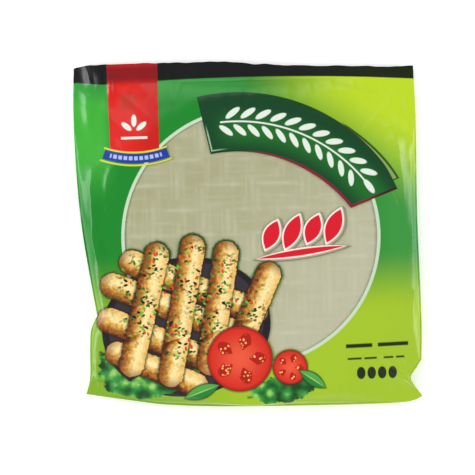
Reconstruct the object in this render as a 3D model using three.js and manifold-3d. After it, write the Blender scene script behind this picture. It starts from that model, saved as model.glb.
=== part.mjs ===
// A sealed film pack of round rice papers, lying flat on its back with the printed front up.
//
// Millimetres, +Z up. X runs across the pack, Y towards the heat-sealed band at its top, and the
// pack rests on z = 0. The origin is at the bottom centre of the pack's box.
//
// Three pieces: the stack of rice papers, the printed film round it with a round opening in its
// front, and the clear disc of film that closes that opening.

import * as THREE from "three";
import { ParametricGeometry } from "three/addons/geometries/ParametricGeometry.js";
import { mergeVertices } from "three/addons/utils/BufferGeometryUtils.js";
import Module from "manifold-3d";

const wasm = await Module();
wasm.setup();

// ---- Driving dimensions -------------------------------------------------------------------

// The stack: nominal 22 cm papers, about 25 of them.
const STACK_RADIUS = 109.5;
const STACK_HEIGHT = 14;
const STACK_CENTRE = new THREE.Vector2(2.6, -12.8);
const STACK_CHAMFER = 0.8;

// The film. As a solid its wall is thicker than real film, so that it stays one closed body.
const WALL = 0.5;
const GAP = 0.3;
const HEM_THICKNESS = 1.2; // front and back film lying on each other along the pack's edge
const HEM_WIDTH = 1.6; // flattened strip along the sides and the bottom
const SEAL_LINE_Y = 110.7; // lower edge of the heat-sealed band, which runs to the top edge

// The clear window in the front.
const WINDOW_RADIUS = 94;
const WINDOW_CENTRE = new THREE.Vector2(2.2, -2.3);

// How the film comes down from the stack: round like a pillow's side where the edge is near,
// slanting to the seal, hollow and drooping where the edge is far.
const SIDE_POWER = 0.5;
const SEAL_POWER = 1;
const HOLLOW_POWER = 1.6;
const NEAR_EDGE_Z = 7.6;
const FAR_EDGE_Z = 4;
const NEAR_SPAN = 20; // distance from the stack's rim up to which the film is fully round
const FAR_SPAN = 62; // distance at which it hangs lowest

// The print of the drying mat in the papers.
const MAT_PITCH = 18;
const MAT_GROOVE_WIDTH = 1.6;
const MAT_GROOVE_DEPTH = 0.25;

// Sampling.
const EDGE_STEP = 6.5;
const CORNER_STEP = 2.6;
const ROUND_SEGMENTS = 96;

const FRONT_Z = WALL + GAP + STACK_HEIGHT + GAP + WALL;
const STACK_Z = WALL + GAP;
const RIM_RADIUS = STACK_RADIUS + GAP + WALL;

// ---- The pack's outline ----------------------------------------------------------------------

const at = ([x, y]) => new THREE.Vector2(x, y);

// Each edge runs on from the one before it, anticlockwise from the ear at the lower right. The
// film is drawn in round the stack at the two notches, and stands out as an ear below each.
const RIGHT_EAR = [123.2, -120.4];
const RIGHT_NOTCH = [114.8, -106.4];
const RIGHT_SHOULDER = [122.9, -94];
const TOP_RIGHT = [122.4, 118.2];
const TOP_LEFT = [-122.4, 122.4];
const LEFT_NOTCH = [-110, -56.5];
const LEFT_EAR = [-119.6, -112.8];

const edges = [
  {
    step: CORNER_STEP,
    points: [RIGHT_EAR, [116.8, -111.4], RIGHT_NOTCH, [119.2, -99.8], RIGHT_SHOULDER],
  },
  {
    step: EDGE_STEP,
    points: [RIGHT_SHOULDER, [123.7, -62], [122.6, 10], [123.4, 82], TOP_RIGHT],
  },
  {
    step: EDGE_STEP,
    points: [TOP_RIGHT, [92, 118.6], [50, 120.1], [14, 121.6], [0, 123.3], [-14, 124.4], [-50, 124.6]],
  },
  {
    step: EDGE_STEP,
    points: [[-50, 124.6], [-86, 125.2], [-102, 125.1], [-112, 124.3], TOP_LEFT],
  },
  {
    step: EDGE_STEP,
    points: [TOP_LEFT, [-123.7, 92], [-122.4, 44], [-119.2, 4], [-113.4, -36], LEFT_NOTCH],
  },
  {
    step: CORNER_STEP,
    points: [LEFT_NOTCH, [-114.6, -66], [-115.8, -79], [-116.4, -101], LEFT_EAR],
  },
  {
    step: EDGE_STEP,
    points: [LEFT_EAR, [-84.4, -118.5], [-62, -121.7], [-20, -124.1], [46, -125], [98, -125]],
  },
  {
    step: EDGE_STEP,
    points: [[98, -125], [115, -123.9], RIGHT_EAR],
  },
];

// The outline as points a step apart, without each edge's last point, which starts the next.
const outline = edges.flatMap(({ step, points }) => {
  const edge = new THREE.SplineCurve(points.map(at));
  return edge.getSpacedPoints(Math.ceil(edge.getLength() / step)).slice(0, -1);
});

// ---- The film's form ----------------------------------------------------------------------------

// Broad creases in the front film, as lines from one point to another with a height and a
// half width: drawn folds beside the stack on the left, and fans to the corners.
const CREASES = [
  { from: [-116, 106], to: [-113, 62], height: 1.1, width: 3.2 },
  { from: [-117, 58], to: [-108, -14], height: 1.2, width: 2.8 },
  { from: [-104, 52], to: [-97, 34], height: 0.7, width: 2.4 },
  { from: [-104, 0], to: [-100, -26], height: 0.7, width: 2.2 },
  { from: [-56, 112], to: [-48, 97], height: 0.9, width: 2.6 },
  { from: [52, 104], to: [112, 96], height: 1.0, width: 4.5 },
  { from: [86, 84], to: [116, 60], height: 0.8, width: 3.5 },
  { from: [-103, -82], to: [-106, -108], height: 1.1, width: 2.4 },
  { from: [104, -100], to: [112, -117], height: 1.0, width: 2.2 },
];

function creaseHeight(x, y) {
  const point = new THREE.Vector3(x, y, 0);
  const nearest = new THREE.Vector3();
  let height = 0;
  for (const { from, to, height: top, width } of CREASES) {
    const line = new THREE.Line3(new THREE.Vector3(...from, 0), new THREE.Vector3(...to, 0));
    line.closestPointToPoint(point, true, nearest);
    height += top * Math.exp(-((point.distanceTo(nearest) / width) ** 2));
  }
  return height;
}

// A ray of the film: from the rim of the stack outwards to one point of the outline. The film
// slopes over `span`, and lies flat as a hem or as the sealed band over the rest of the ray.
function rayTo(edgePoint) {
  const direction = edgePoint.clone().sub(STACK_CENTRE);
  const length = direction.length();
  direction.divideScalar(length);
  const reach = length - RIM_RADIUS;
  const toSeal = direction.y > 0 ? (SEAL_LINE_Y - STACK_CENTRE.y) / direction.y - RIM_RADIUS : Infinity;
  const toHem = reach - Math.min(HEM_WIDTH, reach * 0.3);
  const span = Math.min(toHem, toSeal);
  const far = THREE.MathUtils.smoothstep(span, NEAR_SPAN, FAR_SPAN);
  return {
    direction,
    reach,
    span,
    far,
    power: toSeal < toHem ? SEAL_POWER : SIDE_POWER,
    edgeZ: THREE.MathUtils.lerp(NEAR_EDGE_Z, FAR_EDGE_Z, far),
  };
}

const rays = outline.map(rayTo);

const FRONT_SHARES = [0, 0.1, 0.23, 0.39, 0.57, 0.75, 0.91, 1];
const BACK_SHARES = [0, 0.15, 0.4, 0.7, 1];
const FLAT_RADIUS = RIM_RADIUS * 0.5;

// The rings of the pouch from the middle of the back, over the edge, to the middle of the front.
// Each gives the distance from the stack's centre and the height on a ray. The front is flat up
// to the stack's rim, and creased beyond it.
const backRing = (share) => ({
  place: (ray) => [RIM_RADIUS + share * ray.span, (ray.edgeZ - HEM_THICKNESS / 2) * share ** 1.3],
});
const frontRing = (share) => ({
  creased: share > 0,
  place: (ray) => {
    const edgeTop = ray.edgeZ + HEM_THICKNESS / 2;
    const hollow = (1 - share) ** HOLLOW_POWER;
    const kept = THREE.MathUtils.lerp((1 - share ** 2) ** ray.power, hollow, ray.far);
    return [RIM_RADIUS + share * ray.span, edgeTop + (FRONT_Z - edgeTop) * kept];
  },
});
const rings = [
  { place: () => [0, 0] },
  { place: () => [FLAT_RADIUS, 0] },
  ...BACK_SHARES.map(backRing),
  { place: (ray) => [RIM_RADIUS + ray.reach, ray.edgeZ - HEM_THICKNESS / 2] },
  { place: (ray) => [RIM_RADIUS + ray.reach, ray.edgeZ + HEM_THICKNESS / 2] },
  ...FRONT_SHARES.toReversed().map(frontRing),
  { place: () => [FLAT_RADIUS, FRONT_Z] },
  { place: () => [0, FRONT_Z] },
];

function pouchPoint(u, v, target) {
  const ray = rays[Math.round(u * rays.length) % rays.length];
  const { place, creased } = rings[Math.round(v * (rings.length - 1))];
  const [distance, z] = place(ray);
  const x = STACK_CENTRE.x + ray.direction.x * distance;
  const y = STACK_CENTRE.y + ray.direction.y * distance;
  target.set(x, y, creased ? z + creaseHeight(x, y) : z);
}

// ---- Solids ------------------------------------------------------------------------------------

// A closed geometry as a manifold-3d solid: only positions, shared vertices merged, and the
// triangles that a pole has collapsed dropped.
function solidOf(geometry) {
  const bare = geometry.clone();
  bare.deleteAttribute("normal");
  bare.deleteAttribute("uv");
  const merged = mergeVertices(bare, 1e-3);
  const index = merged.index.array;
  const triVerts = [];
  for (let i = 0; i < index.length; i += 3) {
    const [a, b, c] = index.slice(i, i + 3);
    if (a !== b && b !== c && c !== a) triVerts.push(a, b, c);
  }
  const mesh = new wasm.Mesh({
    numProp: 3,
    vertProperties: merged.attributes.position.array,
    triVerts: new Uint32Array(triVerts),
  });
  return new wasm.Manifold(mesh);
}

function geometryOf(solid) {
  const { vertProperties, triVerts } = solid.getMesh();
  const geometry = new THREE.BufferGeometry();
  geometry.setAttribute("position", new THREE.BufferAttribute(vertProperties, 3));
  geometry.setIndex(new THREE.BufferAttribute(triVerts, 1));
  geometry.computeVertexNormals();
  return geometry;
}

// An upright round disc, from z = bottom to z = top.
function disc(radius, centre, bottom, top) {
  const geometry = new THREE.CylinderGeometry(radius, radius, top - bottom, ROUND_SEGMENTS);
  geometry.rotateX(Math.PI / 2);
  geometry.translate(centre.x, centre.y, (bottom + top) / 2);
  return geometry;
}

// The stack with its soft edge, and the mat's print pressed in its top paper.
function ricePapers() {
  const top = STACK_Z + STACK_HEIGHT;
  const inner = STACK_RADIUS - STACK_CHAMFER;
  const profile = [
    [0, STACK_Z],
    [inner, STACK_Z],
    [STACK_RADIUS, STACK_Z + STACK_CHAMFER],
    [STACK_RADIUS, top - STACK_CHAMFER],
    [inner, top],
    [0, top],
  ];
  const lathe = new THREE.LatheGeometry(profile.map(at), ROUND_SEGMENTS);
  lathe.rotateX(Math.PI / 2);
  lathe.translate(STACK_CENTRE.x, STACK_CENTRE.y, 0);
  const count = Math.floor(WINDOW_RADIUS / MAT_PITCH);
  const grooves = [];
  for (let i = -count; i <= count; i++) {
    const offset = i * MAT_PITCH;
    const length = 2 * Math.sqrt(WINDOW_RADIUS ** 2 - offset ** 2);
    const along = new THREE.BoxGeometry(length, MAT_GROOVE_WIDTH, 2 * MAT_GROOVE_DEPTH);
    const across = new THREE.BoxGeometry(MAT_GROOVE_WIDTH, length, 2 * MAT_GROOVE_DEPTH);
    along.translate(WINDOW_CENTRE.x, WINDOW_CENTRE.y + offset, top);
    across.translate(WINDOW_CENTRE.x + offset, WINDOW_CENTRE.y, top);
    grooves.push(solidOf(along), solidOf(across));
  }
  const mat = grooves.reduce((joined, groove) => joined.add(groove));
  return geometryOf(solidOf(lathe).subtract(mat));
}

// The printed film: the pouch's outer form, hollowed for the stack and open at the window.
function printedFilm() {
  const pouch = solidOf(new ParametricGeometry(pouchPoint, rays.length, rings.length - 1));
  const hollow = disc(STACK_RADIUS + GAP, STACK_CENTRE, WALL, FRONT_Z - WALL);
  const opening = disc(WINDOW_RADIUS, WINDOW_CENTRE, FRONT_Z - 2 * WALL, FRONT_Z + WALL);
  return geometryOf(pouch.subtract(solidOf(hollow)).subtract(solidOf(opening)));
}

function clearWindow() {
  return disc(WINDOW_RADIUS - GAP, WINDOW_CENTRE, FRONT_Z - WALL, FRONT_Z);
}

// ---- The pack ------------------------------------------------------------------------------------

function piece(name, geometry, material) {
  const mesh = new THREE.Mesh(geometry, new THREE.MeshStandardMaterial(material));
  mesh.name = name;
  return mesh;
}

const pack = new THREE.Group();
pack.name = "rice_paper_pack";
pack.add(
  piece("printed_film", printedFilm(), { color: "#5fb02e", roughness: 0.3, metalness: 0 }),
  piece("clear_window", clearWindow(), {
    color: "#dfe4d6",
    roughness: 0.12,
    metalness: 0,
    transparent: true,
    opacity: 0.3,
  }),
  piece("rice_papers", ricePapers(), { color: "#bcb89c", roughness: 0.7, metalness: 0 }),
);

export default pack;
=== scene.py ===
"""Rice paper pack: a sealed film pack of round rice papers, lying on its back.

The pack is dressed in three pieces. The stack of papers lies in the middle. The printed film is
wrapped round it with the printed front up, sealed in a band along the top edge, and drawn in at a
notch on each side. The clear window is the round part of the front film that has no ground
colour. Each piece is made by an operator of its own, in metres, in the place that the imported
model gives it.
"""

import math
import random
from contextlib import contextmanager

import bpy
import numpy as np
from mathutils import Matrix, Vector, noise


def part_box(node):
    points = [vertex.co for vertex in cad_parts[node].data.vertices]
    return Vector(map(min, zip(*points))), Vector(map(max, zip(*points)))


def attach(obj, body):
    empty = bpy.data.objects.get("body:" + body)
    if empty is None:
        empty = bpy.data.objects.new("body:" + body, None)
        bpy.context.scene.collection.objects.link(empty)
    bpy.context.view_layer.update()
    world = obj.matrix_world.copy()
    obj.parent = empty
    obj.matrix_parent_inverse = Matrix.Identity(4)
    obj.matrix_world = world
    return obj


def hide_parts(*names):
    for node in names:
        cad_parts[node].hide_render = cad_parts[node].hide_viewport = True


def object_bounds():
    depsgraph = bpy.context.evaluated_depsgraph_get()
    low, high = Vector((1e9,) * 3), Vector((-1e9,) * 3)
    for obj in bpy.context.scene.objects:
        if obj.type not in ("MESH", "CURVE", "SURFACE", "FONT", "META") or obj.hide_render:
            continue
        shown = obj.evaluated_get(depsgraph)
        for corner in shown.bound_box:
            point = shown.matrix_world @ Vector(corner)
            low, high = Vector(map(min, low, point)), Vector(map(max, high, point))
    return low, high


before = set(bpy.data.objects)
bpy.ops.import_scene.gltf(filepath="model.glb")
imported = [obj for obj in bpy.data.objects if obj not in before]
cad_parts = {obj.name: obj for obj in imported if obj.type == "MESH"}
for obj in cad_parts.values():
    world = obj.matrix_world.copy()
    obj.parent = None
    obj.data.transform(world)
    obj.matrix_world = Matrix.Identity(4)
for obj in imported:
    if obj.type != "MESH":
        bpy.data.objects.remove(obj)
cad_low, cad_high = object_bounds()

bl_info = {
    "name": "Rice Paper Pack",
    "version": (1, 0, 0),
    "blender": (4, 5, 0),
    "location": "3D View > Sidebar > Pack",
    "description": "Makes a sealed film pack of round rice papers round its packed model",
    "category": "Object",
}

MM = 0.001


def linear(hex_colour):
    """An sRGB hex colour as three linear values."""
    levels = [int(hex_colour[i : i + 2], 16) / 255 for i in (1, 3, 5)]
    return tuple(c / 12.92 if c <= 0.04045 else ((c + 0.055) / 1.055) ** 2.4 for c in levels)


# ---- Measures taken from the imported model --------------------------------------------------

papers_low, papers_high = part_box("rice_papers")
window_low, window_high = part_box("clear_window")
STACK = np.array(((papers_low + papers_high) / 2)[:2])
STACK_RADIUS = (papers_high.x - papers_low.x) / 2
PAPER_RADIUS = STACK_RADIUS - 0.4 * MM  # of the papers under the top one, which have room to slip
PAPERS_BOTTOM, PAPERS_TOP = papers_low.z, papers_high.z
WINDOW = np.array(((window_low + window_high) / 2)[:2])
FRONT = window_high.z  # height of the front film over the stack
WINDOW_GAP = 0.3 * MM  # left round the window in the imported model, closed here
WINDOW_RADIUS = (window_high.x - window_low.x) / 2 + WINDOW_GAP
RIM_RADIUS = STACK_RADIUS + FRONT - PAPERS_TOP  # where the film comes over the edge of the stack


# ---- Sizes and colours that a user would change ---------------------------------------------


def size(name, description, millimetres):
    """A length property, given in millimetres."""
    return bpy.props.FloatProperty(
        name=name, description=description, default=millimetres * MM, min=0,
        unit="LENGTH", precision=5,
    )


def angle(name, description, degrees):
    """An angle property, given in degrees."""
    return bpy.props.FloatProperty(
        name=name, description=description, default=math.radians(degrees), subtype="ANGLE"
    )


def ink(name, description, hex_colour):
    """A colour property, given as sRGB hex."""
    return bpy.props.FloatVectorProperty(
        name=name, description=description, default=linear(hex_colour),
        subtype="COLOR", min=0, max=1,
    )


class FilmSizes(bpy.types.PropertyGroup):
    """The film's sizes."""

    wall: size("Film", "Thickness of the film, thicker than the real one so that it prints", 0.15)
    hem: size("Hem", "Thickness of front and back film together along the edge", 0.5)
    hem_width: size("Hem width", "Width of the flat strip along the sides and the bottom", 1.2)
    seal_line: size("Seal line", "Y of the lower edge of the sealed band", 110.7)
    ripple: size("Ripple", "How far the cut edge of the sealed band runs in and out", 0.9)
    step: size("Step", "Distance between two rays of the mesh along the outline", 1.5)
    near_span: size("Near span", "Distance from the stack up to which the film is round", 15)
    far_span: size("Far span", "Distance from the stack at which the film hangs lowest", 48)
    fold: size("Folds", "Height of the small folds that fan out from the stack", 0.55)
    sway: size("Sway", "How far the pack's edge sways up and down", 0.9)
    wave: size("Waves", "How far the film over the papers waves up and down", 0.16)
    lap_width: size("Lap seam", "Width of the lap seam down the back", 11)


class PaperSizes(bpy.types.PropertyGroup):
    """The papers' sizes."""

    count: bpy.props.IntProperty(name="Papers", description="Number of papers", default=25, min=2)
    gap: size("Gap", "Between two papers", 0.14)
    slip: size("Slip", "How far a paper lies off the middle of the stack", 0.35)
    mat_pitch: size("Mat pitch", "Distance between the lines that the drying mat pressed in", 9)
    mat_line: size("Mat line", "Half width of a pressed line", 0.9)
    mat_height: size("Mat height", "Height of a pressed line", 0.12)
    wave: size("Wave", "How far the top paper waves up and down", 0.12)


class PrintInks(bpy.types.PropertyGroup):
    """The inks of the film's print."""

    leaf: ink("Leaf green", "Ground of the left half and the back", "#167f26")
    # Painted sheen: a paler green laid under the seal to stand in for the film's gloss where it
    # tilts up to the seal.
    painted_sheen_green: ink("Pale leaf green", "Ground under the sealed band", "#2f9238")
    fresh: ink("Fresh green", "Ground towards the left edge", "#3aa733")
    lime: ink("Lime", "Ground of the upper right", "#b1cd1f")
    moss: ink("Moss", "Ground of the lower right", "#9bbb26")
    pine: ink("Pine", "Ground of the right edge at mid height", "#368c3a")
    band: ink("Band black", "Sealed band", "#0d0f10")
    band_olive: ink("Band olive", "Sealed band at its right end", "#131d04")
    tab: ink("Tab red", "Tab at the upper left", "#d01c14")
    # Partly print, where the band's black lies over the red, and partly painted shade of the fold
    # across the seal.
    tab_dark: ink("Tab maroon", "Tab where it crosses the sealed band", "#830e14")
    ribbon: ink("Ribbon blue", "Ribbon under the tab", "#1c3a92")
    ribbon_line: ink("Ribbon yellow", "Lines along the ribbon", "#cace38")
    banner: ink("Banner green", "Curved banner", "#0b3e1f")
    banner_glow: ink("Banner glow", "Middle of the banner", "#186422")
    crimson: ink("Crimson", "Line along the banner", "#82122c")
    ring: ink("Ring", "Ring round the window", "#bed1b6")
    white: ink("White", "Ornament", "#d8e0d4")
    text: ink("Text black", "Small bars at the lower right", "#1a270e")


class StageSizes(bpy.types.PropertyGroup):
    """The camera and the floor."""

    camera_distance: size("Camera distance", "From the lens to the pack", 3000)
    elevation: angle("Elevation", "Camera above the horizon", 89.5)
    roll: angle("Roll", "Turn of the camera about its line of sight", -1.5)
    frame_width: size("Frame width", "Width of what the camera sees at the pack", 342)
    floor: ink("Floor", "Colour of the floor", "#fbfbf9")


# ---- Nodes ----------------------------------------------------------------------------------


def add(tree, kind, values=(), **settings):
    """Adds a node and gives its first output. `kind` names the node, and its operation where it has
    one. `values` are numbers, colours or other nodes' outputs for its inputs, in order or by name.
    `settings` are its other properties."""
    kind, _, operation = kind.partition(" ")
    node = tree.nodes.new(kind if kind.startswith("NodeGroup") else "ShaderNode" + kind)
    if operation:
        node.operation = operation
    for name, value in settings.items():
        setattr(node, name, value)
    shown = [socket for socket in node.inputs if socket.enabled]
    by_name = {socket.name: socket for socket in shown}
    pairs = values.items() if isinstance(values, dict) else enumerate(values)
    for key, value in pairs:
        socket = by_name[key] if isinstance(key, str) else shown[key]
        if isinstance(value, bpy.types.NodeSocket):
            tree.links.new(value, socket)
        else:
            socket.default_value = value
    return next((socket for socket in node.outputs if socket.enabled), None)


def paint(hex_colour):
    """A hex colour as a socket takes it."""
    return (*linear(hex_colour), 1)


def rgba(colour):
    """A colour property as a socket takes it."""
    return (*colour, 1)


def millimetres(tree, depth=1):
    """Object coordinates in millimetres. A `depth` of 0 gives flat ones, as a print needs."""
    place = add(tree, "TexCoord").node.outputs["Object"]
    return add(tree, "Mapping", {"Vector": place, "Scale": (1 / MM, 1 / MM, depth / MM)})


SOFT = 0.25  # half width of a printed edge, in millimetres


class Artwork:
    """A print as it is built up, ink over ink. Places and sizes are in millimetres. A share is a
    number from 0 to 1 that says where a shape is."""

    def __init__(self, tree, point):
        self.tree = tree
        self.point = point
        self.x, self.y = self.local_xy((0, 0))
        self.colour = None
        self.cover = 0.0

    def add(self, kind, values=(), **settings):
        return add(self.tree, kind, values, **settings)

    def local(self, centre, turn=0.0, scale=(1, 1)):
        """Points seen from a centre along axes turned by `turn` degrees, with each axis divided by
        its scale."""
        values = (self.point, (*centre, 0), (0, 0, math.radians(turn)), (*scale, 1))
        return self.add("Mapping", values, vector_type="TEXTURE")

    def local_xy(self, centre, turn=0.0, scale=(1, 1)):
        """The same, as two numbers. They are dot products, because Cycles never frees the place
        that it keeps for an output of Separate XYZ that nothing reads."""
        pair = []
        for direction, divisor in zip((math.radians(turn), math.radians(turn + 90)), scale):
            axis = (math.cos(direction) / divisor, math.sin(direction) / divisor, 0)
            reach = self.add("VectorMath DOT_PRODUCT", (self.point, axis))
            start = centre[0] * axis[0] + centre[1] * axis[1]
            pair.append(self.add("Math SUBTRACT", (reach, start)))
        return pair

    def distance(self, centre):
        """Distance from a centre."""
        return self.add("VectorMath DISTANCE", (self.point, (*centre, 0)))

    def angle(self, centre):
        """Direction from a centre, in radians from the x axis."""
        x, y = self.local_xy(centre)
        return self.add("Math ARCTAN2", (y, x))

    def fade(self, value, start, end, low=0.0, high=1.0):
        """Goes from `low` to `high` as a value passes from start to end. A smooth step keeps
        within its limits by itself. With clamp on, Cycles would hold every share back for a node
        of its own at the end, and so many would overflow its stack."""
        values = (value, start, end, low, high)
        return self.add("MapRange", values, interpolation_type="SMOOTHSTEP", clamp=False)

    def up_to(self, value, limit, soft=SOFT):
        """Where a value is under a limit."""
        return self.fade(value, limit + soft, limit - soft)

    def from_(self, value, limit, soft=SOFT):
        """Where a value is over a limit."""
        return self.fade(value, limit - soft, limit + soft)

    def all_of(self, *shares):
        """Where all the shapes lie over each other."""
        share = shares[0]
        for other in shares[1:]:
            share = self.add("Math MULTIPLY", (share, other))
        return share

    def any_of(self, *shares):
        """Where one of the shapes lies."""
        share = shares[0]
        for other in shares[1:]:
            share = self.add("Math MAXIMUM", (share, other))
        return share

    def oval(self, centre, half, turn=0.0, soft=SOFT):
        """An ellipse, given its two half widths."""
        away = self.add("VectorMath LENGTH", (self.local(centre, turn, half),))
        return self.up_to(away, 1, soft / min(half))

    def bar(self, centre, half, turn=0.0, soft=SOFT):
        """A rectangle, given its two half widths."""
        away = [self.add("Math ABSOLUTE", (side,)) for side in self.local_xy(centre, turn)]
        return self.all_of(*(self.up_to(a, h, soft) for a, h in zip(away, half)))

    def leaf(self, centre, half, turn=0.0, soft=SOFT):
        """A long shape with two pointed ends, given its half length and half width."""
        along, across = self.local_xy(centre, turn, (half[0], 1))
        bow = self.add("Math MULTIPLY", (along, along))
        across = self.add("Math ABSOLUTE", (across,))
        return self.up_to(self.add("Math MULTIPLY_ADD", (bow, half[1], across)), half[1], soft)

    def mix(self, share, first, second):
        """One colour going over to another."""
        return self.add("Mix", (share, first, second), data_type="RGBA")

    def tint(self, share, colour):
        """Brings the ground's colour towards another."""
        self.colour = self.mix(share, self.colour, colour)

    def lay(self, share, colour):
        """Lays ink over what is there."""
        self.tint(share, colour)
        self.cover = self.add("Math MAXIMUM", (self.cover, share))


# ---- The print ------------------------------------------------------------------------------

# The banner's two edges are arcs of different circles, and the ear of rice follows a third between
# them. Each is a centre and a radius. Its two ends are straight: a point on each and its turn.
BANNER_OUTER = ((-7.0, -29.0), 131.0)
BANNER_INNER = ((-7.6, -43.9), 104.0)
BANNER_EAR = ((-7.3, -36.5), 117.5)
BANNER_LEFT = ((-34.3, 99.6), -77.6)
BANNER_RIGHT = ((75.2, 18.6), 20.7)
EAR_START = math.radians(101)  # where the ear's arc meets the banner's left end
EAR_STEP = 10.5  # from one grain of the ear to the next on its side
EAR_FIRST, EAR_LAST = 1.5 * EAR_STEP, 12.5 * EAR_STEP  # where the grains start and stop
RIBBON_CENTRE = (-79.1, 126.0)


def ground(art, inks, seal_line):
    """The ground: leaf green, lime to the right, and the black band along the seal, with a painted
    sheen and a painted shade just under the seal.
    """
    upper = art.all_of(art.fade(art.x, -90, -106), art.fade(art.y, 20, 66))
    art.colour = art.mix(upper, rgba(inks.leaf), rgba(inks.fresh))
    art.tint(art.fade(art.x, 70, 108), rgba(inks.pine))
    # Painted sheen: the strip under the seal, left of the middle, goes towards a paler green, as
    # the film's gloss would light it there.
    art.tint(art.all_of(art.fade(art.y, 94, 110), art.fade(art.x, 20, -20)), rgba(inks.painted_sheen_green))
    slant = art.local_xy((0, 0), 54.3)[0]  # towards the upper right corner
    # Painted shade: near the seal the lime is drawn back, so the ground there is greener and
    # darker, as under the seal's shadow.
    slant = art.add("Math SUBTRACT", (slant, art.fade(art.y, 96, 112, 0, 8)))
    art.tint(art.fade(slant, 76, 131), rgba(inks.lime))
    lower = art.all_of(art.fade(art.y, -11, -61), art.fade(art.x, -90, 20, 0.6, 1))
    art.tint(lower, rgba(inks.moss))

    # The band's lower edge bows up in the middle, because the seal draws the film in at its ends,
    # and turns up at the curled left corner.
    bow = art.add("Math MULTIPLY", (art.x, art.x))
    bowed = art.add("Math MULTIPLY_ADD", (bow, 0.00028, art.y))
    bowed = art.add("Math SUBTRACT", (bowed, art.fade(art.x, -100, -124, 0, 3)))
    black = art.mix(art.fade(art.x, 20, 110), rgba(inks.band), rgba(inks.band_olive))
    art.tint(art.from_(bowed, seal_line + 2.4, 0.4), black)


def window_ring(art, inks):
    """The pale ring round the window. The ground is printed outside it alone."""
    window = art.distance(tuple(WINDOW / MM))
    art.cover = art.from_(window, 90.9)
    art.lay(art.all_of(art.cover, art.up_to(window, 93.3)), rgba(inks.ring))


def tab(art, inks, seal_line):
    """The red tab that hangs from the top edge, with a faint square and a sprig of three grains."""
    # The red turns maroon across the sealed band. This is partly print, where the band's black lies
    # over it, and partly painted shade of a fold along the seal, lighter again towards the top
    # edge.
    fold = art.fade(art.y, seal_line - 2.5, seal_line + 4)
    fold = art.all_of(fold, art.fade(art.y, 124.5, 121, 0.5, 1))
    red = art.mix(fold, rgba(inks.tab), rgba(inks.tab_dark))
    red = art.mix(art.fade(art.x, -84, -62, 0, 0.3), red, rgba(inks.tab_dark))
    taper = art.add("Math MULTIPLY_ADD", (art.y, 0.024, art.x))
    art.lay(art.all_of(art.bar((-81, 100), (18.9, 41)), art.from_(taper, -96)), red)
    art.lay(art.all_of(art.bar((-84, 97), (5.5, 6), 0, 2), 0.4), paint("#8a3a24"))
    for turn, centre in ((90, (-80, 83.5)), (140, (-85.4, 79.4)), (40, (-74.6, 79.4))):
        art.lay(art.oval(centre, (4.4, 1.9), turn), rgba(inks.white))
    art.lay(art.bar((-80, 71), (9.5, 0.9)), rgba(inks.white))


def ribbon(art, inks):
    """The blue ribbon under the tab. It sags between two yellow lines and has pale dashes."""
    sag = art.distance(RIBBON_CENTRE)
    x, y = art.local_xy(RIBBON_CENTRE, 180)
    turn = art.add("Math ARCTAN2", (x, y))
    side = art.add("Math ABSOLUTE", (turn,))
    dash = art.add("Math PINGPONG", (art.add("Math MULTIPLY", (turn, 70)), 1.9))
    for low, high, end, colour, where in (
        (65.6, 73.4, 19.3, rgba(inks.ribbon), 1.0),
        (65.0, 66.3, 20.3, rgba(inks.ribbon_line), 1.0),
        (74.2, 75.5, 20.3, rgba(inks.ribbon_line), 1.0),
        (68.4, 71.2, 15.5, paint("#a9b4e0"), art.up_to(dash, 1.3)),
    ):
        ends = art.up_to(side, math.radians(end), 0.004)
        art.lay(art.all_of(art.from_(sag, low), art.up_to(sag, high), ends, where), colour)


def banner(art, inks):
    """The dark green banner, bent over the window, with a crimson edge."""
    outer_radius, inner_radius = BANNER_OUTER[1], BANNER_INNER[1]
    outer = art.distance(BANNER_OUTER[0])
    inner = art.distance(BANNER_INNER[0])
    turn = art.angle(BANNER_EAR[0])
    right = art.local_xy(*BANNER_RIGHT)[1]  # how far a point lies inside each straight end
    left = art.local_xy(*BANNER_LEFT)[1]

    # The dark line that leaves the outer edge towards the right end, with a pale gap.
    apart = art.fade(turn, 1.02, 0.6, outer_radius - 0.6, outer_radius + 1.8)
    away = art.add("Math SUBTRACT", (outer, apart))
    beside = art.all_of(art.up_to(turn, 0.97, 0.03), art.from_(outer, outer_radius - 5))
    art.lay(art.all_of(beside, art.up_to(away, 1.6), art.from_(right, 4.9)), paint("#2f4a10"))
    art.lay(art.all_of(beside, art.up_to(away, 0), art.from_(right, 5.9)), paint("#7c9c55"))
    outer = art.add("Math", (outer, art.fade(turn, 0.68, 0.5, 0, 1.6)))  # drawn in at its right end

    # The crimson line along the inner edge, which widens to the right and runs on up the end.
    inside = art.all_of(art.up_to(outer, outer_radius), art.from_(left, 0))
    edge = art.mix(art.from_(turn, 1.45, 0.12), rgba(inks.crimson), paint("#14261a"))
    edge = art.mix(art.fade(art.x, 82, 98, 0, 0.9), edge, paint("#2a0e16"))
    start = art.fade(turn, 1.6, 0.9, inner_radius - 0.7, inner_radius - 1.9)
    over = art.add("Math SUBTRACT", (inner, start))
    art.lay(art.all_of(inside, art.from_(over, 0), art.from_(right, -1.8)), edge)

    across = art.add("Math SUBTRACT", (inner, inner_radius + 16))
    across = art.add("Math ABSOLUTE", (across,))
    glow = art.all_of(art.fade(across, 18, 2), art.fade(turn, 1.76, 1.54))
    green = art.mix(glow, rgba(inks.banner), rgba(inks.banner_glow))
    art.lay(art.all_of(inside, art.from_(inner, inner_radius), art.from_(right, 0)), green)

    # A pale line inside the lower left corner.
    line = art.all_of(art.up_to(left, 1.9), art.fade(inner, inner_radius + 22, inner_radius + 12))
    foot = art.all_of(art.up_to(inner, inner_radius + 1.7), art.fade(left, 14, 4))
    corner = art.all_of(art.from_(left, 0.9), art.from_(inner, inner_radius + 0.9))
    art.lay(art.all_of(corner, art.any_of(line, foot)), paint("#8fb48c"))
    ear(art, inks, turn)


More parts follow.
